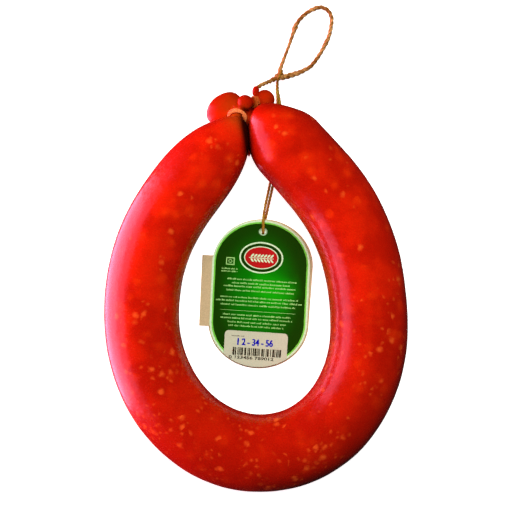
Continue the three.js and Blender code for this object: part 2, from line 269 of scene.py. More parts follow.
def mix_colours(tree, factor, a, b):
    """Mixes two colours, each a value or a socket, and gives the socket of the result."""
    fill = {0: factor}
    for socket, value in ((6, a), (7, b)):
        fill[socket] = value if isinstance(value, bpy.types.NodeSocket) else (*value, 1)
    return add_node(tree, "ShaderNodeMix", fill, data_type="RGBA").outputs[2]


def ramp(tree, value, low, high, to_low=0.0, to_high=1.0):
    """Maps a value smoothly from one range to another, and gives the socket of the result."""
    fill = {"Value": value, "From Min": low, "From Max": high, "To Min": to_low, "To Max": to_high}
    return add_node(tree, "ShaderNodeMapRange", fill, interpolation_type="SMOOTHSTEP").outputs["Result"]


def values(tree, operation, *inputs):
    """The result of one operation of arithmetic on its inputs."""
    return add_node(tree, "ShaderNodeMath", dict(enumerate(inputs)), operation=operation).outputs[0]


def times(tree, a, b):
    """The product of two values."""
    return values(tree, "MULTIPLY", a, b)


def vectors(tree, operation, a, b):
    """A vector sum, difference or product."""
    return add_node(tree, "ShaderNodeVectorMath", {0: a, 1: b}, operation=operation).outputs[0]


def grain(tree, place, size, detail=2.0, output="Fac"):
    """Noise whose features are about as large as size."""
    fill = {"Vector": place, "Scale": 1 / size, "Detail": detail}
    return add_node(tree, "ShaderNodeTexNoise", fill).outputs[output]


def cells(tree, place, size, drawn, **settings):
    """Cells about as large as size: the distance from their middles, and a draw of each from its colour."""
    made = add_node(tree, "ShaderNodeTexVoronoi", {"Vector": place, "Scale": 1 / size}, **settings)
    split = add_node(tree, "ShaderNodeSeparateColor", {0: made.outputs["Color"]})
    return made.outputs["Distance"], split.outputs[drawn]


def bumps(tree, height, strength, rise, under=None):
    """A normal bent by a height map, over another one if it is given."""
    fill = {"Height": height, "Strength": strength, "Distance": rise * MM}
    if under:
        fill["Normal"] = under
    return add_node(tree, "ShaderNodeBump", fill).outputs[0]


def attribute(tree, name):
    """The piece's own attribute of that name."""
    return add_node(tree, "ShaderNodeAttribute", attribute_name=name).outputs["Fac"]


def object_place(tree):
    """The piece's own coordinates."""
    return add_node(tree, "ShaderNodeTexCoord").outputs["Object"]


def new_material(name):
    """An empty node material with its Principled shader, ready to be linked."""
    material = bpy.data.materials.new(name)
    material.use_nodes = True
    tree = material.node_tree
    tree.nodes.clear()
    shader = add_node(tree, "ShaderNodeBsdfPrincipled")
    add_node(tree, "ShaderNodeOutputMaterial", {"Surface": shader.outputs[0]})
    return material, tree, shader


def casing_material(settings):
    """Cured meat in a natural casing: a satin skin over paprika red, with fat showing through, and shade
    painted towards the bottom of the ring, over the tips and bulbs and in the crease between the arms.
    """
    material, tree, shader = new_material("cured_meat_in_natural_casing")
    place = object_place(tree)
    centred = vectors(tree, "SUBTRACT", grain(tree, place, 4 * MM, output="Color"), (0.5, 0.5, 0.5))
    shift = vectors(tree, "MULTIPLY", centred, (3.2 * MM, 3.2 * MM, 3.2 * MM))
    warped = vectors(tree, "ADD", place, shift)
    along = add_node(tree, "ShaderNodeSeparateXYZ", {0: place}).outputs["Y"]

    # Fat crowds towards the bottom of the ring, and comes in clusters
    crowd = ramp(tree, along, *FAT_THINS, 0.46, 0.11)
    density = times(tree, crowd, ramp(tree, grain(tree, place, 24 * MM, 1.0), 0.43, 0.63, 0.1, 1.2))
    fat = None
    for spacing, most in ((settings.speck, 1.0), (0.6 * settings.speck, 0.6)):
        distance, drawn = cells(tree, warped, spacing, 0)
        chosen = values(tree, "LESS_THAN", drawn, density)
        strength = times(tree, chosen, ramp(tree, distance, 0.05, 0.48, most, 0.0))
        fat = strength if fat is None else values(tree, "MAXIMUM", fat, strength)

    # From the meat outwards: each layer is its strength and its colour
    patches = grain(tree, place, 17 * MM, 3.0)
    distance, drawn = cells(tree, warped, 8 * MM, 1, feature="SMOOTH_F1")
    soft_fat = times(tree, ramp(tree, drawn, 0.42, 0.62), ramp(tree, distance, 0.0, 0.55, 0.55, 0.0))
    crease_shade = attribute(tree, "crease_shade")
    body = mix_colours(tree, ramp(tree, patches, 0.38, 0.66), settings.deep, settings.meat)
    for strength, layer in (
        (soft_fat, settings.bright),
        # Painted shade, darker towards the bottom of the ring
        (ramp(tree, along, *LOW_SIDE_SHADE, 0.5, 0.0), settings.painted_shade_red),
        (times(tree, fat, 0.68), settings.fat),
        # Painted shade over the tips and bulbs at the tail
        (ramp(tree, along, *TAIL_SHADE, 0.0, 0.7), settings.painted_shade_red),
        # Dry casing at the ties, and painted shade on two of the bulbs
        (attribute(tree, "dryness_and_bulb_shade"), settings.dry),
        # Painted shade in the crease where the two arms touch
        (crease_shade, settings.crease_shade),
    ):
        body = mix_colours(tree, strength, body, layer)

    # Fine wrinkles of the skin, the fat standing slightly proud of the meat, and shallow dents
    wrinkles = grain(tree, warped, 1.6 * MM, 3.0)
    fine = bumps(tree, wrinkles, 0.25, 0.10)
    proud = bumps(tree, fat, 0.1, 0.12, under=fine)
    fill_inputs(tree, shader, {
        "Base Color": body,
        "Specular IOR Level": times(tree, ramp(tree, crease_shade, 0.2, 0.9, 0.5, 0.05),
                                    ramp(tree, along, *TAIL_DULLS, 1.0, 0.2)),
        "Normal": bumps(tree, grain(tree, place, 7 * MM), 0.35, 0.5, under=proud),
        "Roughness": ramp(tree, wrinkles, 0.3, 0.7, 0.21, 0.29),
        "IOR": 1.42,
        "Subsurface Weight": 0.08,
        "Subsurface Radius": (1.0, 0.25, 0.1),
        "Subsurface Scale": 2.5 * MM,
    })
    return material


def fibre_material(name, light, dark):
    """Spun plant fibre: matt, streaked along the ply, with darker dirt in places."""
    material, tree, shader = new_material(name)
    along = add_node(tree, "ShaderNodeUVMap", uv_map="along").outputs[0]
    stretched = add_node(tree, "ShaderNodeMapping", {0: along, "Scale": (1 / STREAK, 26.0, 1.0)}).outputs[0]
    streaks = grain(tree, stretched, 1.0, 3.0)
    dirt = ramp(tree, grain(tree, object_place(tree), 5 * MM), 0.38, 0.56, 0.15, 1.0)
    fill_inputs(tree, shader, {
        "Base Color": mix_colours(tree, times(tree, ramp(tree, streaks, 0.3, 0.7), dirt), dark, light),
        "Normal": bumps(tree, streaks, 0.8, 0.12),
        "Roughness": ramp(tree, streaks, 0.3, 0.7, 0.95, 0.78),
    })
    return material


def card_material(name, base, fibre_contrast=0.06, roughness=0.6):
    """Bare card: matt pulp with faint fibres and specks."""
    material, tree, shader = new_material(name)
    pulp = grain(tree, object_place(tree), 0.7 * MM, 4.0)
    darker = tuple(c * (1 - 3 * fibre_contrast) for c in base)
    fill_inputs(tree, shader, {
        "Base Color": mix_colours(tree, ramp(tree, pulp, 0.3, 0.7), darker, tuple(base)),
        "Roughness": ramp(tree, pulp, 0.3, 0.7, roughness - 0.05, roughness + 0.08),
        "Normal": bumps(tree, pulp, 0.3, 0.03),
    })
    return material


def print_material(settings):
    """Green offset print on coated card: glossy, darker at the rim, with a bright swoosh in the middle."""
    material, tree, shader = new_material("green_print_on_coated_card")
    spot = add_node(tree, "ShaderNodeUVMap", uv_map="leaf").outputs[0]

    def far(place):
        return add_node(tree, "ShaderNodeVectorMath", {0: place}, operation="LENGTH").outputs["Value"]

    reach = far(vectors(tree, "MULTIPLY", spot, (1 / 29, 1 / 44, 1)))
    body = mix_colours(tree, ramp(tree, reach, 0.35, 0.95), settings.green, settings.dark)
    haze = grain(tree, spot, 16)
    for centre, half, strength in (((8.0, 0.0), (22, 17), 0.75), ((1.0, 8.0), (10, 17), 0.35)):
        moved = vectors(tree, "SUBTRACT", spot, (*centre, 0))
        away = far(vectors(tree, "MULTIPLY", moved, (1 / half[0], 1 / half[1], 1)))
        uneven = values(tree, "MULTIPLY_ADD", haze, 0.7, away)
        body = mix_colours(tree, ramp(tree, uneven, 0.35, 1.35, strength, 0.0), body, settings.glow)
    mottle = grain(tree, spot, 1 / 1.6, 3.0)
    fill_inputs(tree, shader, {
        "Base Color": body,
        "Roughness": ramp(tree, mottle, 0.3, 0.7, 0.30, 0.42),
        "Normal": bumps(tree, mottle, 0.2, 0.02),
    })
    return material


def ink_material(name, base, roughness=0.5):
    """Printing ink: even, slightly mottled where the paper drinks it."""
    return card_material(name, base, fibre_contrast=0.05, roughness=roughness)


def linked(name, data):
    """A new object with that data, in the scene."""
    made = bpy.data.objects.new(name, data)
    bpy.context.scene.collection.objects.link(made)
    return made


def link_piece(name, mesh, materials, sharp=None):
    """Makes a finished piece of a mesh: smooth faces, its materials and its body."""
    for polygon in mesh.polygons:
        polygon.use_smooth = True
    if sharp is not None:
        mesh.set_sharp_from_angle(angle=math.radians(sharp))
    for material in materials:
        mesh.materials.append(material)
    piece = linked(name, mesh)
    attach(piece, "root")
    return piece


def mesh_from(bm, name):
    """Closes a bmesh off: outward faces, and a mesh of that name."""
    bmesh.ops.recalc_face_normals(bm, faces=bm.faces)
    mesh = bpy.data.meshes.new(name)
    bm.to_mesh(mesh)
    bm.free()
    return mesh


def evaluated(holder):
    """An object's mesh after its modifiers; the object goes."""
    graph = bpy.context.evaluated_depsgraph_get()
    mesh = bpy.data.meshes.new_from_object(holder.evaluated_get(graph))
    bpy.data.objects.remove(holder)
    return mesh


def baked(mesh, kind, **settings):
    """The mesh after a modifier, with nothing left live."""
    holder = linked("holder", mesh)
    modifier = holder.modifiers.new(kind.lower(), kind)
    for key, value in settings.items():
        setattr(modifier, key, value)
    return evaluated(holder)


def joined(mesh, other, operation="UNION", solver="EXACT"):
    """The Boolean of two closed meshes."""
    tool = linked("tool", other)
    result = baked(mesh, "BOOLEAN", operation=operation, solver=solver, object=tool)
    bpy.data.objects.remove(tool)
    return result


def spin(degrees, axis="Z"):
    """A turn about an axis."""
    return Matrix.Rotation(math.radians(degrees), 4, axis)


def sized(place, half):
    """A place scaled evenly."""
    return place @ Matrix.Diagonal((half, half, half, 1))


def travelled(points):
    """How far each point of a line lies along it."""
    travel = [0.0]
    for a, b in zip(points, points[1:]):
        travel.append(travel[-1] + (b - a).length)
    return travel


def soften(bm, verts, times_over):
    """Smooths some vertices a few times over."""
    for _ in range(times_over):
        bmesh.ops.smooth_vert(bm, verts=verts, factor=0.5, use_axis_x=True, use_axis_y=True, use_axis_z=True)


def circle_section(sides):
    """A unit circle in the XY plane, as points in order."""
    angles = [2 * math.pi * k / sides for k in range(sides)]
    return [Vector((math.cos(angle), math.sin(angle), 0)) for angle in angles]


def ply_section(plies, per_ply):
    """The outline of plies laid together, inside a unit circle: one round lobe for each ply."""
    points = []
    for k in range(plies * per_ply):
        angle = 2 * math.pi * k / (plies * per_ply)
        lean = angle % (2 * math.pi / plies) - math.pi / plies
        reach = 0.5 * math.cos(lean) + math.sqrt(0.25 - (0.5 * math.sin(lean)) ** 2)
        points.append(Vector((reach * math.cos(angle), reach * math.sin(angle), 0)))
    return points


def loft(bm, section, places, closed_tips=False):
    """Extrudes a closed section through places, each a matrix, and gives the rings of vertices."""
    ring = bmesh.ops.create_circle(bm, segments=len(section), radius=1)["verts"]
    rings = []
    for number, place in enumerate(places):
        if number:
            edges = [bm.edges.get((ring[k - 1], ring[k])) for k in range(len(ring))]
            made = bmesh.ops.extrude_edge_only(bm, edges=edges)["geom"]
            fresh = {item for item in made if isinstance(item, bmesh.types.BMVert)}
            ring = [next(e.other_vert(v) for e in v.link_edges if e.other_vert(v) in fresh) for v in ring]
        for vert, point in zip(ring, section):
            vert.co = place @ point
        rings.append(ring)
    layer = bm.loops.layers.uv.verify() if not bm.loops.layers.uv else bm.loops.layers.uv[0]
    travel = travelled([place.translation for place in places])
    spot = {vert: (i, k) for i, row in enumerate(rings) for k, vert in enumerate(row)}
    faces = {face for row in rings for vert in row for face in vert.link_faces}
    for face in faces:
        wraps = max(spot[v][1] for v in face.verts) - min(spot[v][1] for v in face.verts) > 1
        for corner in face.loops:
            i, k = spot[corner.vert]
            turn = len(section) if wraps and k == 0 else k
            corner[layer].uv = (travel[i], turn / len(section))
    for row, place in ((rings[0], places[0]), (rings[-1], places[-1])):
        if closed_tips:
            bmesh.ops.pointmerge(bm, verts=row, merge_co=place.translation)
        else:
            bmesh.ops.contextual_create(bm, geom=row)
    return rings


def spline(points, step, closed=False):
    """Points every step along a smooth line through given points (a centripetal Catmull-Rom line)."""
    knots = [Vector(p) * MM for p in points]
    if closed:
        knots = [knots[-1]] + knots + knots[:2]
    else:
        knots = [2 * knots[0] - knots[1]] + knots + [2 * knots[-1] - knots[-2]]
    fine = []
    pieces = 24
    for p0, p1, p2, p3 in zip(knots, knots[1:], knots[2:], knots[3:]):
        d0, d1, d2 = (math.sqrt((b - a).length) for a, b in ((p0, p1), (p1, p2), (p2, p3)))
        t1 = ((p1 - p0) / d0 - (p2 - p0) / (d0 + d1) + (p2 - p1) / d1) * d1
        t2 = ((p2 - p1) / d1 - (p3 - p1) / (d1 + d2) + (p3 - p2) / d2) * d1
        for i in range(pieces):
            t = i / pieces
            fine.append(p1 + t1 * t + (3 * (p2 - p1) - 2 * t1 - t2) * t ** 2
                        + (2 * (p1 - p2) + t1 + t2) * t ** 3)
    fine.append(knots[-2])
    return resample(fine, step)


def resample(line, step):
    """A line's points again, evenly spaced by about step."""
    travel = travelled(line)
    count = max(2, round(travel[-1] / step))
    points, at = [], 0
    for i in range(count + 1):
        goal = travel[-1] * i / count
        while at < len(line) - 2 and travel[at + 1] < goal:
            at += 1
        share = (goal - travel[at]) / max(travel[at + 1] - travel[at], 1e-12)
        points.append(line[at].lerp(line[at + 1], min(share, 1.0)))
    return points


def length_of(line):
    """A line's length."""
    return travelled(line)[-1]


def frames_along(line):
    """A frame at each point of a line, square to it, that never spins about it."""
    ways = [(line[min(i + 1, len(line) - 1)] - line[max(i - 1, 0)]).normalized() for i in range(len(line))]
    side = ways[0].orthogonal().normalized()
    places = []
    for i, (point, way) in enumerate(zip(line, ways)):
        if i:
            side = ways[i - 1].rotation_difference(way) @ side
        side = (side - side.dot(way) * way).normalized()
        up = way.cross(side)
        turn = Matrix((side, up, way)).transposed().to_4x4()
        places.append(Matrix.Translation(point) @ turn)
    return places


def twine_places(line, diameter, lay, slubs=()):
    """Places of a twisted twine's sections along a line, with thick spots where slubs lie."""
    step = length_of(line) / (len(line) - 1)
    places = []
    for i, place in enumerate(frames_along(line)):
        along = i * step
        swell = 1 + 0.07 * noise.noise(Vector((along / (3.2 * MM), 0.0, diameter / MM)))
        swell += sum(more * math.exp(-((along - at) / reach) ** 2) for at, reach, more in slubs)
        angle = 2 * math.pi * along / (lay * diameter)
        half = diameter / 2 * swell
        places.append(sized(place @ Matrix.Rotation(angle, 4, "Z"), half))
    return places


def rest_on_table(bm, floor=0.02 * MM):
    """Flattens what would reach through the table."""
    for vert in bm.verts:
        vert.co.z = max(vert.co.z, floor)


def plan_points(steps=400):
    """The middle line seen from above as close points, from the left tip to the right tip, in millimetres."""
    def step(start, degrees, reach):
        return start + reach * Vector((math.cos(math.radians(degrees)), math.sin(math.radians(degrees))))

    curves = [
        (TIP_LEFT, step(TIP_LEFT, TIP_ANGLE["left"], -TIP_REACH["left"]),
         step(WAIST_LEFT, 90, ARM_REACH["left"]), WAIST_LEFT),
        (WAIST_LEFT, step(WAIST_LEFT, 90, -WAIST_REACH["left"]),
         step(BOTTOM, 180, BOTTOM_REACH["left"]), BOTTOM),
        (BOTTOM, step(BOTTOM, 0, BOTTOM_REACH["right"]),
         step(WAIST_RIGHT, 90, -WAIST_REACH["right"]), WAIST_RIGHT),
        (WAIST_RIGHT, step(WAIST_RIGHT, 90, ARM_REACH["right"]),
         step(TIP_RIGHT, TIP_ANGLE["right"], -TIP_REACH["right"]), TIP_RIGHT),
    ]
    points = [TIP_LEFT.copy()]
    for a, b, c, d in curves:
        for i in range(1, steps + 1):
            t = i / steps
            points.append(a * (1 - t) ** 3 + b * 3 * t * (1 - t) ** 2 + c * 3 * t ** 2 * (1 - t) + d * t ** 3)
    return points


def smoothstep(value, low, high):
    """The smooth step from 0 at low to 1 at high."""
    t = min(max((value - low) / (high - low), 0.0), 1.0)
    return t * t * (3 - 2 * t)


class MiddleLine:
    """The middle line of the meat, with its height and its thickness, all in millimetres."""

    def __init__(self):
        self.points = plan_points()
        self.travel = travelled(self.points)
        self.length = self.travel[-1]

    def tip_height(self, distance, end):
        rise = CLIMB[end] * smoothstep(CLIMB_OVER - distance, 0, CLIMB_OVER)
        return rise - NOD[end] * max(0, 1 - distance / NOD_WITHIN) ** 2

    def at(self, s):
        s = min(max(s, 0.0), self.length)
        low = min(bisect.bisect_right(self.travel, s) - 1, len(self.travel) - 2)
        share = (s - self.travel[low]) / (self.travel[low + 1] - self.travel[low])
        x, y = self.points[low].lerp(self.points[low + 1], share)
        height = REST_HEIGHT + self.tip_height(s, "left") + self.tip_height(self.length - s, "right")
        return Vector((x, y, height))

    def radius(self, s):
        share = min(max(s / self.length, 0.0), 1.0)
        after = next(i for i in range(1, len(GIRTHS)) if GIRTHS[i][0] >= share)
        (start_at, start), (end_at, end) = GIRTHS[after - 1], GIRTHS[after]
        girth = start + (end - start) * smoothstep(share, start_at, end_at)
        for distance, (reach, power) in ((s, DOME["left"]), (self.length - s, DOME["right"])):
            girth *= max(math.sin(min(max(distance / reach, 0), 1) * math.pi / 2), 0) ** power
        return girth

    def stations(self, count, steps=4000):
        """Distances of the rings of faces: close together where the thickness changes fast."""
        bit = self.length / steps
        travel = [0.0]
        for i in range(1, steps + 1):
            slope = abs(self.radius(i * bit) - self.radius((i - 1) * bit)) / bit
            travel.append(travel[-1] + bit * (0.3 + min(slope, 6) / 2))
        found, i = [], 0
        for ring in range(count + 1):
            while i < steps and travel[i] < travel[-1] * ring / count:
                i += 1
            found.append(i * bit)
        return found

    def place(self, s):
        """The matrix of a ring: sideways, upwards and along, scaled by the thickness, in metres."""
        reach = 0.2
        way = (self.at(s + reach) - self.at(s - reach)).normalized()
        side = way.cross(Vector((0, 0, 1))).normalized()
        up = side.cross(way)
        half = max(self.radius(s), 0.02) * MM
        turn = Matrix((side, up, way)).transposed().to_4x4()
        return sized(Matrix.Translation(self.at(s) * MM) @ turn, half)


def casing_relief(point, settings, fade):
    """How far the skin stands out at a point: broad swells, lumps of filling, and small dents."""
    p = point / MM
    broad = noise.noise(p / 31 + Vector((3.1, 0, 0)))
    lumps = noise.noise(p / 11 + Vector((0, 7.7, 0)))
    fine = noise.noise(p / 4.2 + Vector((0, 0, 5.2)))
    return settings.relief * fade * (0.9 * broad + 0.38 * lumps + 0.12 * fine)


def ring_mesh(settings):
    """The ring of meat with its two domed tips."""
    line = MiddleLine()
    bm = bmesh.new()
    places = [line.place(s) for s in line.stations(settings.rings)]
    loft(bm, circle_section(settings.sides), places, closed_tips=True)
    bm.normal_update()
    tips = [Vector((*TIP_LEFT, REST_HEIGHT)) * MM, Vector((*TIP_RIGHT, REST_HEIGHT)) * MM]
    shifts = []
    for vert in bm.verts:
        near = min((vert.co - tip).length for tip in tips)
        fade = 0.25 + 0.75 * smoothstep(near / MM, 12, 55)
        shifts.append(vert.normal * casing_relief(vert.co, settings, fade))
    outward = 1 if sum(v.normal.z for v in bm.verts if v.co.z > 40 * MM) > 0 else -1
    for vert, shift in zip(bm.verts, shifts):
        vert.co += shift * outward
    return mesh_from(bm, "ring")


def neck_places(radius, pleats, flare, route):
    """Places of a neck's sections: narrow in the middle and flared at both ends."""
    line = spline(route, 0.35 * MM)
    places = []
    for i, place in enumerate(frames_along(line)):
        t = i / (len(line) - 1)
        half = radius * MM * (1 + flare[round(t)] * abs(2 * t - 1) ** 3)
        places.append(sized(place @ Matrix.Rotation(0.5 * t, 4, "Z"), half))
    section = []
    for k, point in enumerate(circle_section(72)):
        angle = 2 * math.pi * k / 72
        fold = math.cos(pleats * angle + 1.3 * math.sin(2 * angle))
        section.append(point * (0.98 + 0.1 * fold))
    return section, places


def tails_mesh():
    """The bulbs beyond the ends and the drawn-in necks between them, melted into one skin."""
    bm = bmesh.new()
    for at, half, radius, turn, dip in BULBS:
        sphere = bmesh.ops.create_uvsphere(bm, u_segments=64, v_segments=40, radius=1)["verts"]
        for vert in sphere:
            swell = 1 + 0.03 * noise.noise(vert.co * 1.7 + Vector(at))
            vert.co *= swell
        place = Matrix.Translation(Vector(at) * MM) @ spin(turn) @ spin(dip, "Y")
        shape = Matrix.Diagonal((half * MM, radius * MM, radius * MM, 1))
        bmesh.ops.transform(bm, verts=sphere, matrix=place @ shape)
    for neck in NECKS:
        section, places = neck_places(*neck)
        loft(bm, section, places)
    mesh = baked(mesh_from(bm, "tails"), "REMESH", mode="VOXEL", voxel_size=SKIN_VOXEL)
    bm = bmesh.new()
    bm.from_mesh(mesh)
    soften(bm, bm.verts, 5)
    return mesh_from(bm, "tails")


def mark(mesh, name, measure):
    """A float attribute of that name with the measure of each corner point."""
    layer = mesh.attributes.new(name, "FLOAT", "POINT")
    layer.data.foreach_set("value", [measure(vert.co / MM) for vert in mesh.vertices])


def dryness_and_bulb_shade(point):
    """1 on the gathered casing at the ties, fading out away from them, and less on the bulbs beside them,
    where it is painted shade.
    """
    spots = (
        (Vector(NECK_TIE[0]) - Vector((0, 2.5, 0)), 7.5, 1.1),
        (Vector((-12.0, 99.0, 29.0)), 7.0, 0.7),
        (Vector(TAIL_TIE[0]), 2.4, 1.1),
        # The last two spots paint shade on the bulbs
        (Vector(BULBS[2][0]) + Vector((0, 0, 3)), 6.0, 0.15),
        (Vector(BULBS[0][0]) + Vector((4, 0, 5)), 8.0, 0.35),
    )
    nearest = max(most * math.exp(-((point - spot).length / reach) ** 2) for spot, reach, most in spots)
    return min(1.0, nearest)


def crease_measure(near=3.2, within=75.0, spacing=1.5):
    """A measure that is 1 where the two arms touch and fades out as they part; it paints shade into the
    crease.
    """
    line = MiddleLine()
    arms = []
    for side in (0, 1):
        distances = [i * spacing for i in range(int(within / spacing))]
        places = [line.length - d if side else d for d in distances]
        arms.append([(line.at(s), line.radius(s)) for s in places])

    def measure(point):
        if point.y < line.at(within).y - within / 2:
            return 0.0
        clear = max(min((point - at).length - half for at, half in arm) for arm in arms)
        return math.exp(-(max(clear, 0.0) / near) ** 2)

    return measure


def tie_route(tie, diameter, turns, wobble=0.12):
    """A winding round a neck: its points in millimetres."""
    at, towards, neck = Vector(tie[0]), Vector(tie[1]).normalized(), tie[2]
    across = towards.orthogonal().normalized()
    other = towards.cross(across)
    reach = neck + TIE_GAP + diameter / MM / 2
    count = round(turns * 14)
    points = []
    for i in range(count + 1):
        angle = 2 * math.pi * turns * i / count
        slide = (i / count - 0.5) * turns * diameter / MM * 0.95 + wobble * math.sin(2.3 * angle)
        point = at + towards * slide + across * reach * math.cos(angle)
        points.append(point + other * reach * math.sin(angle))
    return points


def knot_route(count=36):
    """An overhand knot as a closed line (a trefoil): its points in millimetres."""
    place = Matrix.Translation(KNOT_AT) @ spin(20)
    wide, tall, thick = KNOT_REACH
    points = []
    for i in range(count):
        t = 2 * math.pi * i / count
        spot = (wide * (math.sin(t) + 2 * math.sin(2 * t)), tall * (math.cos(t) - 2 * math.cos(2 * t)),
                thick * math.sin(3 * t))
        points.append(place @ Vector(spot))
    return points


def left_places(line, turns):
    """Distances along a winding at which each whole turn passes its upper left side."""
    side = Vector((-0.7, 0.1, 0.7))
    per_turn = (len(line) - 1) / turns
    step = length_of(line) / (len(line) - 1)
    found = []
    for turn in range(int(turns)):
        first = round(turn * per_turn)
        part = line[first:first + round(per_turn)]
        found.append((first + max(range(len(part)), key=lambda i: part[i].dot(side))) * step)
    return found


def add_fibres(bm, line, diameter, count, length, seed):
    """Stray fibres that stand off a twine, each a thin curved spike."""
    draw = random.Random(seed)
    section = circle_section(3)
    places = frames_along(line)
    for _ in range(count):
        at = draw.randrange(1, len(places) - 1)
        base = places[at]
        angle = draw.uniform(0, 2 * math.pi)
        out = base.to_3x3() @ Vector((math.cos(angle), math.sin(angle), 0))
        way = base.to_3x3() @ Vector((0, 0, draw.choice((-1, 1))))
        reach = length * draw.uniform(0.4, 1.0)
        start = base.translation + out * diameter * 0.4
        bend = start + (way * 0.6 + out * 0.35) * reach * 0.5
        tip = bend + (way * draw.uniform(0.1, 0.7) + out * draw.uniform(0.1, 0.8)) * reach * 0.5
        if min(bend.z, tip.z) < 0.2 * MM:
            continue
        route = resample([start, start.lerp(bend, 0.5) + out * 0.05 * reach, bend, tip], reach / 4)
        spikes = []
        for i, place in enumerate(frames_along(route)):
            half = FIBRE / 2 * (1 - 0.8 * i / (len(route) - 1))
            spikes.append(sized(place, half))
        loft(bm, section, spikes)


def twine_piece(name, line, diameter, lay, material, fibres, fibre_length, seed, slubs=()):
    """A piece of twisted twine along a line, with stray fibres."""
    bm = bmesh.new()
    bm.loops.layers.uv.new("along")
    loft(bm, ply_section(3, 8), twine_places(line, diameter, lay, slubs))
    add_fibres(bm, line, diameter, fibres, fibre_length * MM, seed)
    rest_on_table(bm)
    return link_piece(name, mesh_from(bm, name), [material])


def tag_place():
    """The matrix from the tag's own millimetres to the shared frame."""
    low_end = LEAF["straight"] / 2 + LEAF["cap"]
    at = Vector((*TAG_AT, low_end * math.sin(math.radians(TAG_LIFT)) + TABLE_GAP)) * MM
    return sized(Matrix.Translation(at) @ spin(TAG_TURN) @ spin(TAG_LIFT, "X"), MM)


def thickened(bm, faces, way):
    """Extrudes faces along a way into closed shapes, and gives what was added."""
    made = bmesh.ops.extrude_face_region(bm, geom=faces, use_keep_orig=True)["geom"]
    bmesh.ops.translate(bm, verts=[item for item in made if isinstance(item, bmesh.types.BMVert)], vec=way)
    return made


def oval_plate(bm, half_width, straight, cap, bottom, top, segments=128):
    """A plate with straight sides and half-oval ends, in the tag's millimetres; gives its top face."""
    ring = bmesh.ops.create_circle(bm, cap_ends=True, segments=segments, radius=1)["verts"]
    bmesh.ops.scale(bm, verts=ring, vec=(half_width, cap, 1))
    for sign in (-1, 1):
        half = [v for v in ring if v.co.y * sign > 1e-4]
        bmesh.ops.translate(bm, verts=half, vec=(0, sign * straight / 2, 0))
    bmesh.ops.translate(bm, verts=ring, vec=(0, 0, bottom))
    base = next(f for f in ring[0].link_faces if len(f.verts) == segments)
    made = thickened(bm, [base], (0, 0, top - bottom))
    return next(item for item in made if isinstance(item, bmesh.types.BMFace) and len(item.verts) == segments)


def cut_grid(bm, spacing=4.0):
    """Cuts a flat shape along a square grid so that it can bend."""
    for normal in (Vector((1, 0, 0)), Vector((0, 1, 0))):
        reach = max(abs(v.co.dot(normal)) for v in bm.verts)
        for i in range(-int(reach / spacing), int(reach / spacing) + 1):
            geometry = list(bm.verts) + list(bm.edges) + list(bm.faces)
            bmesh.ops.bisect_plane(bm, geom=geometry, dist=1e-5, plane_co=normal * i * spacing,
                                   plane_no=normal)


def bow(point):
    """How the front leaf and all that is on it curl down towards its long sides, in millimetres."""
    return -0.55 * (point.x / LEAF["half_width"]) ** 2 * smoothstep(point.z, 0.5, FRONT_TOP - CARD)


def place_on_tag(bm):
    """Bows a shape made in the tag's millimetres, keeps its flat place as a UV map, and lays it down."""
    layer = bm.loops.layers.uv.get("leaf") or bm.loops.layers.uv.new("leaf")
    for face in bm.faces:
        for corner in face.loops:
            corner[layer].uv = corner.vert.co.xy
    for vert in bm.verts:
        vert.co.z += bow(vert.co)
    bmesh.ops.transform(bm, verts=bm.verts, matrix=tag_place())


def reopened(mesh):
    """A mesh as a bmesh again, with its doubles merged."""
    bm = bmesh.new()
    bm.from_mesh(mesh)
    bmesh.ops.remove_doubles(bm, verts=bm.verts, dist=1e-5)
    return bm


def round_bar(x, y, radius, low, high):
    """An upright round bar at x, y in the tag's millimetres."""
    bm = bmesh.new()
    place = Matrix.Translation((x, y, (low + high) / 2))
    bmesh.ops.create_cone(bm, cap_ends=True, segments=48, radius1=radius, radius2=radius, depth=high - low,
                          matrix=place)
    return bm


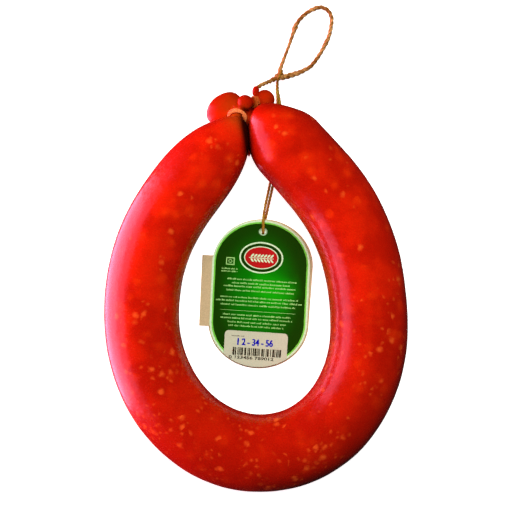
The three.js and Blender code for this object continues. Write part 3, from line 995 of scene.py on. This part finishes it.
def card_mesh(settings):
    """The folded card: two leaves and the strip between them, with the hole drilled."""
    front_low = CARD + LEAF_GAP
    front = bmesh.new()
    top = oval_plate(front, **LEAF, bottom=front_low, top=FRONT_TOP)
    for width, index in ((settings.border / MM, 1), (RIM, 2)):
        bmesh.ops.inset_region(front, faces=[top], thickness=width, use_even_offset=True)
        top.material_index = index
    result = mesh_from(front, "front")
    back = bmesh.new()
    grow = BACK_LEAF["grow"]
    oval_plate(back, LEAF["half_width"] + grow, LEAF["straight"], LEAF["cap"] + grow, bottom=0, top=CARD)
    turn = Matrix.Translation((*BACK_LEAF["shift"], 0)) @ spin(BACK_LEAF["turn"])
    bmesh.ops.transform(back, verts=back.verts, matrix=turn)
    for face in back.faces:
        face.material_index = 3
    strip = bmesh.new()
    inner, outer, lapped = STRIP["inner"], STRIP["outer"], STRIP["inner"] + STRIP["lap"]
    outline = [
        (lapped, FRONT_TOP - 0.02), (inner, FRONT_TOP - 0.02), (outer - CARD / 2, CARD / 2), (outer, 0),
        (lapped, 0), (lapped, CARD), (outer + 3 * CARD, CARD), (inner, front_low), (lapped, front_low),
    ]
    corners = [strip.verts.new((x, STRIP["low"], z)) for x, z in outline]
    face = strip.faces.new(corners)
    thickened(strip, [face], (0, STRIP["high"] - STRIP["low"], 0))
    for face in strip.faces:
        face.material_index = 3
    patch = round_bar(HOLE["x"], HOLE["y"], HOLE["diameter"], CARD / 2, CARD + 0.02)
    result = joined(result, mesh_from(back, "back"))
    result = joined(result, mesh_from(strip, "strip"))
    result = joined(result, mesh_from(patch, "patch"))
    between = CARD + LEAF_GAP / 2
    for drill in (round_bar(HOLE["x"], HOLE["y"], HOLE["diameter"] / 2, between, 2 * FRONT_TOP),
                  round_bar(HOLE["inner_x"], HOLE["inner_y"], HOLE["inner"] / 2, -FRONT_TOP, between)):
        result = joined(result, mesh_from(drill, "drill"), "DIFFERENCE")
    bm = reopened(result)
    cut_grid(bm)
    place_on_tag(bm)
    return mesh_from(bm, "tag_card")


def print_matrix(x, y, z):
    """The place of something printed, turned with the print, in the tag's millimetres."""
    return Matrix.Translation((0, 0, z)) @ spin(PRINT_TURN) @ Matrix.Translation((x, y, 0))


INK = 0.04


def paint(verts, index):
    """Gives the faces at some vertices a material."""
    for face in {f for v in verts for f in v.link_faces}:
        face.material_index = index


def slab(bm, x, y, width, height, z, index=0):
    """A thin printed bar with its middle at x, y."""
    place = print_matrix(x, y, z + INK / 2) @ Matrix.Diagonal((width, height, INK, 1))
    paint(bmesh.ops.create_cube(bm, size=1, matrix=place)["verts"], index)


def disc(bm, x, y, half_width, half_height, z, index, turn=0.0, segments=48):
    """A thin printed oval."""
    place = print_matrix(x, y, z + INK / 2) @ spin(turn)
    place = place @ Matrix.Diagonal((half_width, half_height, 1, 1))
    paint(bmesh.ops.create_cone(bm, cap_ends=True, segments=segments, radius1=1, radius2=1, depth=INK,
                                matrix=place)["verts"], index)


def small_print(bm, rows, z, draw, x_height=0.72, pitch=0.74):
    """Rows of small plain marks that stand for text: each row is its middle height and its two ends."""
    for y, left, right in rows:
        x = left
        while x < right:
            for _ in range(draw.randint(3, 10)):
                width = pitch * draw.uniform(0.5, 0.8)
                tall = x_height * (1.45 if draw.random() < 0.25 else 1.0)
                if x + width > right:
                    break
                slab(bm, x + width / 2, y + (tall - x_height) / 2, width, tall, z)
                x += pitch * draw.uniform(0.85, 1.1)
            x += pitch * 0.8


# Rows of small print on the leaf: middle height, left end and right end, in the tag's millimetres
LEAF_ROWS = [
    (7.9, -20.4, 22.0), (5.6, -17.4, 18.9), (3.6, -22.3, 22.3), (1.1, -20.3, 21.1),
    (-3.1, -23.8, 24.2), (-5.3, -26.4, 26.3), (-7.7, -23.4, 22.3),
    (-13.8, -21.6, 20.1), (-15.9, -23.0, 21.4), (-18.3, -18.4, 17.1), (-20.5, -17.9, 16.2),
]
MARK_ROWS = [(14.0, -24.2, -14.0), (12.4, -24.2, -14.2)]
RULE_Y = -11.1


def leaf_print_mesh():
    """The small print on the leaf: rows of marks, a thin rule, and a small framed mark."""
    bm = bmesh.new()
    draw = random.Random(7)
    small_print(bm, LEAF_ROWS, FRONT_TOP, draw)
    small_print(bm, MARK_ROWS, FRONT_TOP, draw, x_height=0.6, pitch=0.62)
    slab(bm, -0.4, RULE_Y, 46, 0.22, FRONT_TOP)
    mark = Vector((-19.2, 18.7))
    for dx, dy, width, height in ((-2.3, 0, 0.6, 4.6), (2.3, 0, 0.6, 4.6),
                                  (0, -2.0, 4.4, 0.6), (0, 2.0, 4.4, 0.6)):
        slab(bm, mark.x + dx, mark.y + dy, width, height, FRONT_TOP)
    for angle in range(0, 360, 45):
        x = mark.x + 1.0 * math.cos(math.radians(angle))
        y = mark.y + 0.9 * math.sin(math.radians(angle))
        slab(bm, x, y, 0.55, 0.5, FRONT_TOP)
    cut_grid(bm)
    place_on_tag(bm)
    return mesh_from(bm, "tag_small_print")


BADGE = {"x": -0.5, "y": 21.9, "half_width": 13.4, "half_height": 9.6}


def badge_mesh():
    """A plain oval badge: pale rim, dark green ring, red middle, and a pale sprig of leaves."""
    bm = bmesh.new()
    x, y = BADGE["x"], BADGE["y"]
    wide, high = BADGE["half_width"], BADGE["half_height"]
    disc(bm, x, y, wide, high, FRONT_TOP, 0, segments=96)
    disc(bm, x, y, wide - 0.9, high - 0.9, FRONT_TOP + INK, 1, segments=96)
    disc(bm, x, y, wide - 2.9, high - 2.6, FRONT_TOP + 2 * INK, 0, segments=96)
    disc(bm, x, y, wide - 3.5, high - 3.2, FRONT_TOP + 3 * INK, 2, segments=96)
    slab(bm, x, y - 0.3, 15.0, 0.45, FRONT_TOP + 4 * INK)
    for step in range(-3, 4):
        for side in (-1, 1):
            disc(bm, x + step * 2.0 + 0.5, y - 0.3 + side * 1.45, 1.35, 0.55, FRONT_TOP + 4 * INK, 0,
                 turn=side * 48, segments=20)
    cut_grid(bm)
    place_on_tag(bm)
    return mesh_from(bm, "tag_badge")


def sticker_mesh():
    """The sticker: a rounded paper label trimmed to the card's outline."""
    bm = bmesh.new()
    grid = bmesh.ops.create_grid(bm, x_segments=1, y_segments=1, size=0.5)["verts"]
    bmesh.ops.scale(bm, verts=grid, vec=(STICKER["width"], STICKER["height"], 1))
    bmesh.ops.bevel(bm, geom=grid, offset=STICKER["corner"], segments=8, profile=0.5, affect="VERTICES",
                    material=-1)
    thickened(bm, list(bm.faces), (0, 0, STICKER["thickness"]))
    place = Matrix.Translation((STICKER["x"], STICKER["y"], STICKER_TOP - STICKER["thickness"]))
    bmesh.ops.transform(bm, verts=bm.verts, matrix=place @ spin(PRINT_TURN))
    trim = bmesh.new()
    oval_plate(trim, **LEAF, bottom=0, top=4 * FRONT_TOP)
    bm = reopened(joined(mesh_from(bm, "label"), mesh_from(trim, "trim"), "INTERSECT"))
    cut_grid(bm)
    place_on_tag(bm)
    return mesh_from(bm, "tag_label")


def numbers(bm, body, x, y, height, z, index, squeeze, bold):
    """Plain numbers laid flat, with their left end at x."""
    curve = bpy.data.curves.new("numbers", "FONT")
    curve.body = body
    curve.size = height / 0.7
    curve.extrude = INK / 2
    curve.offset = bold
    curve.align_y = "CENTER"
    mesh = evaluated(linked("numbers", curve))
    mesh.transform(print_matrix(x, y, z + INK / 2) @ Matrix.Diagonal((squeeze, 1, 1, 1)))
    before = set(bm.faces)
    bm.from_mesh(mesh)
    for face in bm.faces:
        if face not in before:
            face.material_index = index
    bmesh.ops.remove_doubles(bm, verts=bm.verts, dist=1e-4)


# The sticker's print, in the tag's millimetres
STICKER_LINE = (-26.6, -15.5, -7.6)
STROKES = {"left": -14.2, "right": 14.8, "y": -35.9, "height": 4.7}
CODE = {"body": "0 123456 789012", "y": -39.7, "height": 1.7, "squeeze": 1.6, "bold": 0.06}
STAMP = {"body": "1 2 - 34 - 56", "y": -30.2, "height": 4.0, "squeeze": 0.78, "bold": 0.10}


def sticker_print_mesh():
    """The sticker's print: stamped numbers, plain upright strokes over more numbers, and a small line."""
    bm = bmesh.new()
    draw = random.Random(11)
    small_print(bm, [STICKER_LINE], STICKER_TOP, draw, x_height=0.5, pitch=0.55)
    for face in bm.faces:
        face.material_index = 2
    x = STROKES["left"]
    while x < STROKES["right"]:
        width = draw.choice((0.45, 0.45, 0.75, 1.05))
        slab(bm, x + width / 2, STROKES["y"], width, STROKES["height"], STICKER_TOP, 1)
        x += width + draw.choice((0.3, 0.3, 0.6, 0.9))
    numbers(bm, x=-16.4, z=STICKER_TOP, index=1, **CODE)
    # The stamp is set twice, a little apart, because its strokes are bold
    numbers(bm, x=-12.54, z=STICKER_TOP, index=0, **STAMP)
    numbers(bm, x=-12.26, z=STICKER_TOP + INK / 4, index=0, **STAMP)
    place_on_tag(bm)
    return mesh_from(bm, "tag_label_print")


class SAUSAGE_OT_stage(bpy.types.Operator):
    """Lays the pale floor, sets the camera straight above and the soft lights"""

    bl_idname = "sausage.stage"
    bl_label = "Stage"

    def execute(self, context):
        settings = context.scene.sausage_stage
        scene = context.scene
        scene.view_settings.view_transform = "Standard"
        bm = bmesh.new()
        bmesh.ops.create_circle(bm, cap_ends=True, segments=96, radius=9)
        bmesh.ops.translate(bm, verts=bm.verts, vec=(0, 0, -0.1 * MM))
        floor = linked("floor", mesh_from(bm, "floor"))
        material, tree, shader = new_material("pale_studio_floor")
        fill_inputs(tree, shader, {
            "Base Color": (*settings.floor, 1), "Roughness": 0.9, "Specular IOR Level": 0.0,
            "Emission Color": (1, 1, 1, 1), "Emission Strength": 0.9,
        })
        floor.data.materials.append(material)
        floor.visible_diffuse = floor.visible_glossy = floor.visible_shadow = False

        world = bpy.data.worlds.new("studio")
        world.use_nodes = True
        tree = world.node_tree
        tree.nodes.clear()
        seen = add_node(tree, "ShaderNodeLightPath").outputs["Is Camera Ray"]
        shade = mix_colours(tree, seen, (0.02, 0.02, 0.02), (0.95, 0.95, 0.95))
        background = add_node(tree, "ShaderNodeBackground", {"Color": shade, "Strength": 1.0})
        add_node(tree, "ShaderNodeOutputWorld", {"Surface": background.outputs[0]})
        scene.world = world

        for name, at, aim, dimensions, power, tint, glossy in (
            ("overhead", (0.02, 0.50, 1.20), (0.0, 0.03, 0.0), (0.9, 0.9), 23, (1.0, 0.95, 0.86), False),
            ("low_window", (-1.0, 0.04, -0.55), (0.0, 0.04, -0.55), (1.3, 1.5), 58, (1.0, 0.31, 0.52), True),
            ("high_window", (-1.0, 0.04, 0.47), (0.0, 0.04, 0.47), (1.3, 0.54), 9.5, (1.0, 0.28, 0.46), True),
        ):
            lamp = bpy.data.lights.new(name, "AREA")
            lamp.shape = "RECTANGLE"
            lamp.size, lamp.size_y = dimensions
            lamp.energy = power
            lamp.color = tint
            holder = linked(name, lamp)
            holder.location = at
            way = Vector(aim) - Vector(at)
            holder.rotation_euler = way.to_track_quat("-Z", "Y").to_euler()
            holder.visible_glossy = glossy
            # Without this a little of the hidden lamp still shows as a grey sheen on the casing
            lamp.cycles.use_multiple_importance_sampling = glossy

        lens = bpy.data.cameras.new("camera")
        distance = settings.camera_height - REST_HEIGHT * MM
        lens.lens = lens.sensor_width * distance / settings.view_width
        camera = linked("camera", lens)
        camera.location = (settings.camera_x, settings.camera_y, settings.camera_height)
        scene.camera = camera
        return {"FINISHED"}


class SAUSAGE_OT_casing(bpy.types.Operator):
    """Builds the ring of meat in its casing, with its necks and bulbs"""

    bl_idname = "sausage.casing"
    bl_label = "Casing"

    def execute(self, context):
        settings = context.scene.sausage_casing
        mesh = joined(ring_mesh(settings), tails_mesh(), solver="MANIFOLD")
        bm = reopened(mesh)
        seams = [Vector(NECKS[0][3][1]) * MM, Vector(NECKS[1][3][3]) * MM]
        seam = [v for v in bm.verts if min((v.co - at).length for at in seams) < 9 * MM]
        soften(bm, seam, 4)
        rest_on_table(bm, floor=0.0)
        mesh = mesh_from(bm, "casing")
        # Dry casing at the ties, with painted shade on two of the bulbs
        mark(mesh, "dryness_and_bulb_shade", dryness_and_bulb_shade)
        # Painted shade where the two arms touch
        mark(mesh, "crease_shade", crease_measure())
        mesh.materials.clear()
        casing = link_piece("casing", mesh, [casing_material(settings)])
        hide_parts("sausage")
        return {"FINISHED"}


class SAUSAGE_OT_ties(bpy.types.Operator):
    """Winds the ties round the necks"""

    bl_idname = "sausage.ties"
    bl_label = "Ties"

    def execute(self, context):
        settings = context.scene.sausage_twine
        greased = fibre_material("cotton_string_soaked_in_fat", settings.greased, settings.rusty)
        rusty = fibre_material("cotton_string_stained_by_paprika", settings.rusty, settings.dark)
        for name, tie, turns, material, node, swell in (
            ("neck_winding", NECK_TIE, 2.3, greased, "neck_tie", 0.6),
            ("tail_winding", TAIL_TIE, 2.2, rusty, "tail_tie", 0.1),
        ):
            line = spline(tie_route(tie, settings.tie, turns), TIE_STEP)
            slubs = [(at, 4.5 * MM, swell) for at in left_places(line, turns)]
            winding = twine_piece(name, line, settings.tie, settings.lay, material, fibres=6,
                                  fibre_length=2.0, seed=len(name), slubs=slubs)
            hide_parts(node)
        return {"FINISHED"}


class SAUSAGE_OT_loop(bpy.types.Operator):
    """Lays the hanging loop, the knot that closes it and the knot's loose end"""

    bl_idname = "sausage.loop"
    bl_label = "Hanging loop"

    def execute(self, context):
        settings = context.scene.sausage_twine
        natural = fibre_material("jute_twine", settings.natural, settings.shaded)
        line = spline(LOOP_ROUTE, LOOP_STEP)
        loop = twine_piece("hanging_twine", line, settings.twine, settings.lay, natural, fibres=60,
                           fibre_length=3.2, seed=3, slubs=LOOP_SLUBS)
        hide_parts("hanging_loop")
        knot_line = spline(knot_route(), STRING_STEP, closed=True)
        knot = twine_piece("loop_knot", knot_line, settings.twine * 0.85, settings.lay, natural, fibres=10,
                           fibre_length=2.0, seed=5)
        stub_line = spline(STUB_ROUTE, STRING_STEP)
        stub = twine_piece("loop_stub", stub_line, settings.twine * 0.7, settings.lay, natural, fibres=8,
                           fibre_length=1.8, seed=9)
        length_of(line)
        return {"FINISHED"}


class SAUSAGE_OT_string(bpy.types.Operator):
    """Lays the doubled string from the knot to the tag"""

    bl_idname = "sausage.string"
    bl_label = "Tag string"

    def execute(self, context):
        settings = context.scene.sausage_twine
        pale = fibre_material("pale_cotton_string", settings.pale, settings.soaked)
        line = spline(STRING_ROUTE, STRING_STEP)
        string = twine_piece("tag_twine", line, settings.string, settings.lay, pale, fibres=60,
                             fibre_length=2.4, seed=13)
        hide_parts("tag_string")
        hitch_line = spline(HITCH_ROUTE, STRING_STEP)
        hitch = twine_piece("string_hitch", hitch_line, settings.string, settings.lay, pale, fibres=4,
                            fibre_length=1.6, seed=17)
        length_of(line)
        return {"FINISHED"}


class SAUSAGE_OT_tag(bpy.types.Operator):
    """Folds the card tag and prints it"""

    bl_idname = "sausage.tag"
    bl_label = "Card tag"

    def execute(self, context):
        settings = context.scene.sausage_tag
        cream = card_material("uncoated_cream_card", settings.card)
        rim = card_material("pale_green_rim_print", settings.rim, roughness=0.4)
        # The back leaf and the fold strip take a darker card as painted shade
        back = card_material("card_back_with_painted_shade", settings.back)
        materials = [cream, rim, print_material(settings), back]
        card = link_piece("folded_card", card_mesh(settings), materials, sharp=30)
        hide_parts("tag_card")
        ink = ink_material("pale_printing_ink", settings.ink)
        link_piece("tag_small_print", leaf_print_mesh(), [ink], sharp=30)
        dark = ink_material("dark_green_ink", settings.dark)
        red = ink_material("red_ink", settings.badge)
        link_piece("tag_badge", badge_mesh(), [cream, dark, red], sharp=30)
        return {"FINISHED"}


class SAUSAGE_OT_sticker(bpy.types.Operator):
    """Sticks the paper label on the tag, with its stamped numbers and strokes"""

    bl_idname = "sausage.sticker"
    bl_label = "Sticker"

    def execute(self, context):
        settings = context.scene.sausage_tag
        paper = card_material("coated_label_paper", settings.label, fibre_contrast=0.03, roughness=0.45)
        label = link_piece("tag_label", sticker_mesh(), [paper], sharp=30)
        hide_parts("tag_sticker")
        stamp = ink_material("blue_stamp_ink", settings.stamp)
        black = ink_material("black_printing_ink", linear("#2B2416"))
        grey = ink_material("grey_printing_ink", linear("#6B6A5C"))
        link_piece("tag_label_print", sticker_print_mesh(), [stamp, black, grey], sharp=30)
        return {"FINISHED"}


class SAUSAGE_PT_panel(bpy.types.Panel):
    """Lists the steps that build the sausage and its stage"""

    bl_idname = "SAUSAGE_PT_panel"
    bl_label = "Cured sausage"
    bl_space_type = "VIEW_3D"
    bl_region_type = "UI"
    bl_category = "Sausage"

    def draw(self, context):
        for operator in OPERATORS:
            self.layout.operator(operator.bl_idname)
        for name in SETTINGS:
            group = getattr(context.scene, name)
            box = self.layout.box()
            for key in group.bl_rna.properties.keys():
                if key not in {"rna_type", "name"}:
                    box.prop(group, key)


OPERATORS = (SAUSAGE_OT_stage, SAUSAGE_OT_loop, SAUSAGE_OT_string, SAUSAGE_OT_casing, SAUSAGE_OT_ties,
             SAUSAGE_OT_tag, SAUSAGE_OT_sticker)
SETTINGS = {
    "sausage_casing": CasingSettings,
    "sausage_twine": TwineSettings,
    "sausage_tag": TagSettings,
    "sausage_stage": StageSettings,
}


def register():
    """Registers the settings, the operators and the panel."""
    for name, group in SETTINGS.items():
        bpy.utils.register_class(group)
        setattr(bpy.types.Scene, name, PointerProperty(type=group))
    for cls in (*OPERATORS, SAUSAGE_PT_panel):
        bpy.utils.register_class(cls)


def unregister():
    """Removes them again."""
    for cls in reversed((*OPERATORS, SAUSAGE_PT_panel)):
        bpy.utils.unregister_class(cls)
    for name, group in SETTINGS.items():
        delattr(bpy.types.Scene, name)
        bpy.utils.unregister_class(group)


def main():
    """Builds everything in order."""
    register()
    bpy.ops.sausage.stage()
    bpy.ops.sausage.loop()
    bpy.ops.sausage.string()
    bpy.ops.sausage.casing()
    bpy.ops.sausage.ties()
    bpy.ops.sausage.tag()
    bpy.ops.sausage.sticker()


if __name__ == "__main__":
    main()
